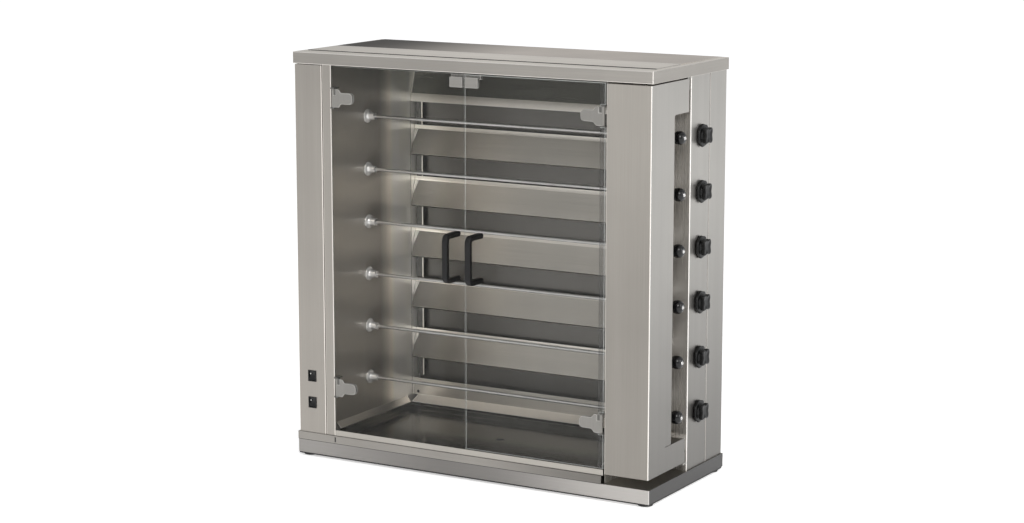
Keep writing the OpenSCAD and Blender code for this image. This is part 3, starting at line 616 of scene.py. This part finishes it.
rounded("guard_sheet", "guard_door", GUARD_FRONT, 0.3 * MM,
        folds=[(guard_high.x, guard_low.y, 1, -1), (guard_low.x, guard_low.y, -1, -1)],
        others=[(faces_right, LIT_SIDE_UP)])
rounded("guard_pins", "guard_hinge_pins", ZINC, 0.5 * MM)
rounded("catch_block", "door_catch", STRIKE, 0.8 * MM)
rounded("hinge_brackets", "door_hinge_pins", ZINC_DARK, 0.4 * MM)
rounded("gland", "cable_gland", BLACK, 0.6 * MM)
rounded("screws", "cover_screws", CHROME, 0.5 * MM)
rounded("foot_pads", "feet", RUBBER, 1.5 * MM, 3)
rounded("bezels", "switch_bezels", BLACK, 0.3 * MM)
for side in ("left", "right"):
    rounded(side + "_glass", side + "_door_glass", GLASS, 0.6 * MM)
for i in SPITS:
    rounded(f"spit_rod_{i}", f"spit_{i}", ROD, 0.4 * MM)
    rounded(f"drive_cup_{i}", f"spit_drive_{i}", CHROME, 0.4 * MM)

# Joints in the sheets and the lid's groove, as thin lines of painted shade, and dark strips for the
# painted floor shadow under the plinth
half_seam = 0.6 * MM
bar("seam_deck", "cabinet", SEAM_SHADOW,
    (plinth_low.x + MM, rail_low.y - 0.1 * MM, plinth_high.z - half_seam),
    (rail_high.x, rail_low.y + MM, plinth_high.z + half_seam), 0.2 * MM, 1)
bar("seam_lid", "cabinet", SEAM_SHADOW, (vent_low.x, groove_y, cap_high.z - 3 * MM),
    (vent_high.x, groove_y + 0.7 * MM, cap_high.z - 0.3 * MM), 0.2 * MM, 1)
shadow_strip_low, shadow_strip_top = plinth_low.z - 4 * MM, plinth_low.z + MM
left, right, front, rear = plinth_low.x, plinth_high.x, plinth_low.y, plinth_high.y
for name, x_low, y_low, x_high, y_high in (
        ("skirt_front", left + 2 * MM, front + MM, right - 2 * MM, front + 3 * MM),
        ("skirt_back", left + 5 * MM, rear - 6 * MM, right - 5 * MM, rear - 4 * MM),
        ("skirt_left", left + 4 * MM, front + 6 * MM, left + 6 * MM, rear - 6 * MM),
        ("skirt_right", right - 3 * MM, front + 6 * MM, right - MM, rear - 6 * MM)):
    bar(name, "cabinet", RUBBER, (x_low, y_low, shadow_strip_low), (x_high, y_high, shadow_strip_top), 0.4 * MM)

# Upright angle strips at the ends of the recesses behind the deflectors: a dark strip of painted shade
# and a light lip of painted light, with the distances of their edges from the side wall, in mm
STRIP_EDGES = (2, 21, 24)
for side, sign, wall in SIDES:
    near, middle, far = (wall + sign * d * MM for d in STRIP_EDGES)
    bar(f"recess_end_{side}", "cabinet", SEAM_AND_SHADE_STEEL,
        (min(near, middle), strip_y + 2.5 * MM, strip_low),
        (max(near, middle), strip_y + 4 * MM, hood_low.z), 0.3 * MM)
    bar(f"recess_lip_{side}", "cabinet", LIT_FLANGE,
        (min(middle, far), strip_y, strip_low),
        (max(middle, far), strip_y + 2 * MM, hood_low.z), 0.4 * MM)

# Joint between the side sheet and the recess, and the slot in the rail and the hole in the lower panel
# as painted shade
bar("seam_wall", "cabinet", SEAM_AND_SHADE_STEEL,
    (cavity_left - 0.1 * MM, deflector_low.y - MM, lower_low.z + 18 * MM),
    (cavity_left + 0.3 * MM, deflector_low.y + 0.5 * MM, hood_low.z), 0.1 * MM, 1)
bar("rail_slot", "cabinet", SEAM_SHADOW,
    (cavity_left - 0.8 * MM, rail_low.y - 0.15 * MM, plinth_high.z + 4 * MM),
    (cavity_left + 3.6 * MM, rail_low.y + 3 * MM, rail_high.z - 4 * MM), 0.3 * MM, 1)
turned("lower_hole", "cabinet", SEAM_SHADOW,
       Vector((cavity_left + 13 * MM, lower_high.y - 1.2 * MM, lower_low.z + 23 * MM)),
       [(-0.35, 3.2), (-0.3, 4.2), (0.2, 4.4)], axis="Y")


def sloping_strip(name, material, wall, sign, reach, foot, head):
    """A thin strip up a sloping sheet, by a side wall. `reach` is its width at the foot and at the head."""
    gap, front, rear = 1.2 * MM, 2 * MM, 0.8 * MM
    bm = bmesh.new()
    rings = []
    for (y, z), width in zip((foot, head), reach):
        near, far = sorted((wall + sign * gap, wall + sign * (gap + width)))
        rings.append([(near, y - front, z), (far, y - front, z), (far, y - rear, z), (near, y - rear, z)])
    ring_stack(bm, rings, Matrix.Identity(4))
    soften(bm, 0.3 * MM, 1)
    add_piece(name, bm, material, "cabinet")


# End strips of the hood and of the deflectors, up their slopes
SLOPE_HEIGHT, STRIP_HEIGHT, BELOW_SPIT = 70 * MM, 36 * MM, 62 * MM
lean = (deflector_high.y - deflector_low.y) / SLOPE_HEIGHT
for side, sign, wall in SIDES:
    sloping_strip(f"hood_end_{side}", LIT_FLANGE, wall, sign, (4 * MM, 4 * MM), hood_foot, hood_head)
    for i, height in enumerate(spit_heights[:-1]):
        slope_top = height - BELOW_SPIT
        sloping_strip(f"slope_end_{side}_{i + 1}", LIP, wall, sign, (1.5 * MM, 13 * MM),
                      (deflector_high.y - lean * STRIP_HEIGHT, slope_top - STRIP_HEIGHT),
                      (deflector_high.y - MM, slope_top))

# Drain recess in the tray, as a disc of painted shade
turned("tray_drain", "tray", SEAM_SHADOW,
       Vector((0.5 * (cavity_left + cavity_right), drain_y, tray_low.z)),
       [(0.7, 11.6), (1.25, 11.4), (1.3, 9.0), (0.9, 4.0)], axis="Z")


# ---------------------------------------------------------------- doors

# A glass hinge, in mm: half its height, and its bolts' and its knuckle's distance from the side wall
HINGE_HALF = 24.5
BOLTS, KNUCKLE = (40, 51), 7


def hinge(name, side, wall, sign, middle):
    """A cast glass hinge: front plate with a tapered shoulder, corner pocket, rear clamp, knuckle and bolts.
    Its points are (distance from the side wall, height over its middle), in mm."""
    def at(points):
        return [(wall + sign * d * MM, middle + z * MM) for d, z in points]

    body, slot = side + "_door", "zinc"
    end = arc(59.5, -4.0, 11.0, -80, 0, 6) + arc(59.5, 4.0, 11.0, 0, 80, 6)
    lower_edge = [(5, -HINGE_HALF), (25, -HINGE_HALF), (28, -23), (32, -17), (36, -15)]
    upper_edge = [(36, 15), (32, 17), (28, 23), (25, HINGE_HALF), (18, HINGE_HALF), (18, 8), (5, 8)]
    plate(name, body, ZINC, at(lower_edge + end + upper_edge), front_y - 3 * MM, front_y, 0.7 * MM,
          replaces=side + "_door_hinges")
    # Painted shade: the pocket in a darker copy of the cast steel
    plate(name + "_pocket", body, ZINC_DARK,
          at([(5, 9), (17, 9), (17, HINGE_HALF), (5, HINGE_HALF)]),
          front_y - 2.2 * MM, front_y, 0.5 * MM)
    plate(name + "_clamp", body, ZINC, at([(29, -15), *end, (29, 15)]),
          glass_back, glass_back + 2 * MM, 0.6 * MM)
    for d in BOLTS:
        turned(f"{name}_bolt_{d}", body, ZINC, Vector((wall + sign * d * MM, front_y, middle)),
               [(-3.15, 2.6), (-3.1, 3.4), (-2.6, 3.8), (8.0, 3.8), (8.8, 3.2)], axis="Y")
    turned(name + "_knuckle", body, ZINC, Vector((wall + sign * KNUCKLE * MM, front_y + MM, middle)),
           [(-HINGE_HALF, 3.9), (-23.9, 4.5), (23.9, 4.5), (HINGE_HALF, 3.9)], axis="Z")


for side, sign, wall in SIDES:
    hinges_low, hinges_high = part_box(side + "_door_hinges")
    for number, middle in enumerate((hinges_low.z + HINGE_HALF * MM, hinges_high.z - HINGE_HALF * MM)):
        hinge(f"{side}_hinge_{number + 1}", side, wall, sign, middle)

# Strike plates on both faces of each pane, by the middle of the doorway
STRIKE_NEAR, STRIKE_FAR = 4 * MM, 43 * MM
middle = (cavity_left + cavity_right) / 2
for side, sign, _ in SIDES:
    low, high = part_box(side + "_door_strike")
    near, far = sorted((middle - sign * STRIKE_NEAR, middle - sign * STRIKE_FAR))
    outline = [(near, low.z + MM), (near + MM, low.z), (far - MM, low.z), (far, low.z + MM), (far, high.z),
               (near, high.z)]
    plate(side + "_strike", side + "_door", STRIKE, outline, low.y, front_y, 0.5 * MM,
          replaces=side + "_door_strike")
    plate(side + "_strike_back", side + "_door", STRIKE, outline, glass_back, high.y, 0.5 * MM)


def section(width, depth, radius):
    """A rectangle with rounded corners, as (across, outward) points."""
    points = []
    for cx, cz, start in ((1, 1, 0), (-1, 1, 90), (-1, -1, 180), (1, -1, 270)):
        points += arc(cx * (width / 2 - radius), cz * (depth / 2 - radius), radius, start, start + 90, 4)
    return points


def door_handle(name, node_name):
    """A D handle: a flat rounded bar bent twice, with a screw through the glass at each end."""
    low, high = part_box(node_name)
    body = body_of_node[node_name]
    x = (low.x + high.x) / 2
    bend, half = 13 * MM, 7.2 * MM
    bar_y, top_z, low_z = low.y + half, high.z - half - 1 * MM, low.z + half + 1 * MM
    foot_y = front_y + 0.2 * MM
    path = [(foot_y, top_z)]
    path += arc(bar_y + bend, top_z - bend, bend, 90, 180, 8)
    path += arc(bar_y + bend, low_z + bend, bend, 180, 270, 8)
    path += [(foot_y, low_z)]
    outline = section(17 * MM, 14 * MM, 3.4 * MM)
    rings = []
    for k, (y, z) in enumerate(path):
        before, after = path[max(k - 1, 0)], path[min(k + 1, len(path) - 1)]
        way = Vector((after[0] - before[0], after[1] - before[1])).normalized()
        rings.append([(x + across, y + way.y * out, z - way.x * out) for across, out in outline])
    bm = bmesh.new()
    ring_stack(bm, rings, Matrix.Identity(4))
    obj = add_piece(name, bm, SATIN_BLACK, body, 40)
    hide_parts(node_name)
    for number, z in enumerate((top_z, low_z)):
        turned(f"{name}_screw_{number + 1}", body, CHROME, Vector((x, glass_back, z)),
               [(-1.0, 6.0), (0.8, 6.0), (1.6, 5.0), (1.9, 2.0)], axis="Y")


door_handle("left_handle", "left_door_handle")
door_handle("right_handle", "right_door_handle")

# A dim band down the hinge side of the right pane, where the sealing strip shows through
bar("glass_band", "right_door", EDGE_BAND,
    (cavity_right - 19 * MM, glass_back + 0.1 * MM, glass_low.z + MM),
    (cavity_right - 2 * MM, glass_back + 0.5 * MM, glass_high.z - MM), 0.1 * MM, 1)


# ---------------------------------------------------------------- spits, knobs and switches

# Profiles in mm: (distance along the axis, radius). The bell, the knob and its grip count from the
# right-hand end of their CAD piece, and the ball and its ferrule from the middle of the ball.
BELL_PROFILE = [(-27.4, 18.2), (-27.1, 19.1), (-26, 19.4), (-24.2, 19.2), (-23.2, 18.4), (-21.8, 15.4),
                (-20.0, 12.4), (-17.0, 10.6), (-12.0, 9.9), (-3.0, 9.7), (-2.0, 9.5)]
BALL_PROFILE = [(-16, 7), (-15.5, 9.6), (-13.6, 12.6), (-10.6, 15.2), (-6.6, 17.1), (-2, 17.9), (3, 17.9),
                (8, 16.9), (11.6, 14.8), (14.4, 11.6), (15.6, 9.2), (16, 7), (15.6, 5.2)]
FERRULE_PROFILE = [(14, 5.2), (16.1, 5.2), (16.6, 4.8), (16.8, 4.5)]
KNOB_PROFILE = [(-49, 4), (-22.4, 4), (-22, 28.2), (-21.4, 30.2), (-20, 31), (-17, 31), (-15.6, 30.2),
                (-15, 28.6), (-14.8, 21), (-13.4, 19.4), (-9, 18.6)]
GRIP_PROFILE = [(-12.6, 20), (-11.8, 23.6), (-10.4, 25.6), (-8.6, 26.4), (-2.8, 26.6), (-1.2, 25.9),
                (-0.3, 24.4), (0, 22.8), (-0.8, 20), (-2.2, 14), (-2.8, 7)]


def right_end(node_name):
    """The middle of a CAD node's right-hand end."""
    low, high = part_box(node_name)
    return Vector((high.x, (low.y + high.y) / 2, (low.z + high.z) / 2))


for i in SPITS:
    turned(f"cup_bell_{i}", f"drive_{i}", BELL, right_end(f"spit_drive_{i}"), BELL_PROFILE)
    ball_low, ball_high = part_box(f"spit_handle_{i}")
    centre = (ball_low + ball_high) / 2
    turned(f"spit_ball_{i}", f"spit_body_{i}", GLOSS_BLACK, centre, BALL_PROFILE,
           replaces=f"spit_handle_{i}")
    turned(f"spit_ferrule_{i}", f"spit_body_{i}", CHROME, centre, FERRULE_PROFILE)
    centre = right_end(f"burner_knob_{i}")
    turned(f"knob_{i}", f"knob_{i}", BLACK, centre, KNOB_PROFILE, lobes=7, depth=0.075,
           replaces=f"burner_knob_{i}")
    turned(f"knob_grip_{i}", f"knob_{i}", BLACK, centre, GRIP_PROFILE, lobes=4, depth=0.33,
           sharp=0.75, first=math.radians(45))

for name in ("upper", "lower"):
    rounded(f"rocker_{name}", f"{name}_rocker", GLOSS_BLACK, 0.6 * MM)
    low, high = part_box(f"{name}_rocker")
    turned(f"rocker_mark_{name}", f"rocker_{name}", MARK,
           Vector(((low.x + high.x) / 2 - 4 * MM, low.y + 1.0 * MM, high.z - 7 * MM)),
           [(-1.0, 1.2), (-0.9, 1.6), (0.6, 1.6)], axis="Y")


# ---------------------------------------------------------------- camera, floor and light

def view_axes(azimuth, elevation):
    """The camera's right, up and backward ways, from its angles in degrees."""
    a, e = math.radians(azimuth), math.radians(elevation)
    back = Vector((math.sin(a) * math.cos(e), -math.cos(a) * math.cos(e), math.sin(e)))
    right = Vector((math.cos(a), math.sin(a), 0.0))
    return right, back.cross(right), back


# The photograph's view: angles in degrees, distances in metres, lens and sensor in mm
AZIMUTH, ELEVATION = 30.10, 10.22
DISTANCE, ASIDE, LIFT = 6.6062, 0.0105, -0.001
AIM = Vector((0, 0, 0.565))
LENS, SENSOR_WIDTH = 85.1098, 36

right, up, back = view_axes(AZIMUTH, ELEVATION)
camera_data = bpy.data.cameras.new("camera")
camera_data.lens = LENS
camera_data.sensor_width = SENSOR_WIDTH
camera_data.clip_end = 60
camera = bpy.data.objects.new("camera", camera_data)
bpy.context.scene.collection.objects.link(camera)
camera.matrix_world = Matrix((
    (right.x, up.x, back.x, 0), (right.y, up.y, back.y, 0), (right.z, up.z, back.z, 0), (0, 0, 0, 1)))
camera.location = AIM + back * DISTANCE + right * ASIDE + up * LIFT
bpy.context.scene.camera = camera

bm = bmesh.new()
bmesh.ops.create_grid(bm, x_segments=8, y_segments=8, size=30)
floor_mesh = bpy.data.meshes.new("floor")
bm.to_mesh(floor_mesh)
bm.free()
floor = bpy.data.objects.new("floor", floor_mesh)
bpy.context.scene.collection.objects.link(floor)
floor_material, _, bsdf = new_material("floor")
bsdf.inputs["Base Color"].default_value = (0.93, 0.93, 0.93, 1)
bsdf.inputs["Roughness"].default_value = 0.9
bsdf.inputs["Emission Color"].default_value = (1, 1, 1, 1)
bsdf.inputs["Emission Strength"].default_value = 0.45
floor_mesh.materials.append(floor_material)
floor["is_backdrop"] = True


def soft_light(name, place, target, size, power, colour=(1, 1, 1)):
    """A rectangular light at a place, turned towards its target."""
    data = bpy.data.lights.new(name, "AREA")
    data.shape = "RECTANGLE"
    data.size, data.size_y = size
    data.energy = power
    data.color = colour
    obj = bpy.data.objects.new(name, data)
    bpy.context.scene.collection.objects.link(obj)
    obj.location = place
    obj.rotation_euler = (Vector(target) - Vector(place)).to_track_quat("-Z", "Y").to_euler()


soft_light("key", (2.6, -3.6, 3.6), (0, 0, 0.6), (2.6, 2.0), 120, (1.0, 0.98, 0.96))
soft_light("fill", (-4.0, -2.2, 3.0), (0, 0, 0.6), (3.6, 3.6), 14)
soft_light("side", (4.5, 0.6, 1.8), (0.5, 0, 0.6), (1.6, 2.6), 55)

# The camera sees a white world; everything else is lit by a dimmer, cooler one
world = bpy.data.worlds.new("studio")
bpy.context.scene.world = world
world.use_nodes = True
tree = world.node_tree
tree.nodes.clear()
world_out = node(tree, "OutputWorld")
seen = node(tree, "Background", Color=(1, 1, 1, 1), Strength=1.05)
lit = node(tree, "Background", Color=(0.86, 0.87, 0.88, 1), Strength=0.75)
ray = node(tree, "LightPath")
chosen = node(tree, "MixShader")
tree.links.new(ray.outputs["Is Camera Ray"], chosen.inputs[0])
tree.links.new(lit.outputs[0], chosen.inputs[1])
tree.links.new(seen.outputs[0], chosen.inputs[2])
tree.links.new(chosen.outputs[0], world_out.inputs[0])
bpy.context.scene.view_settings.view_transform = "Standard"

low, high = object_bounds()
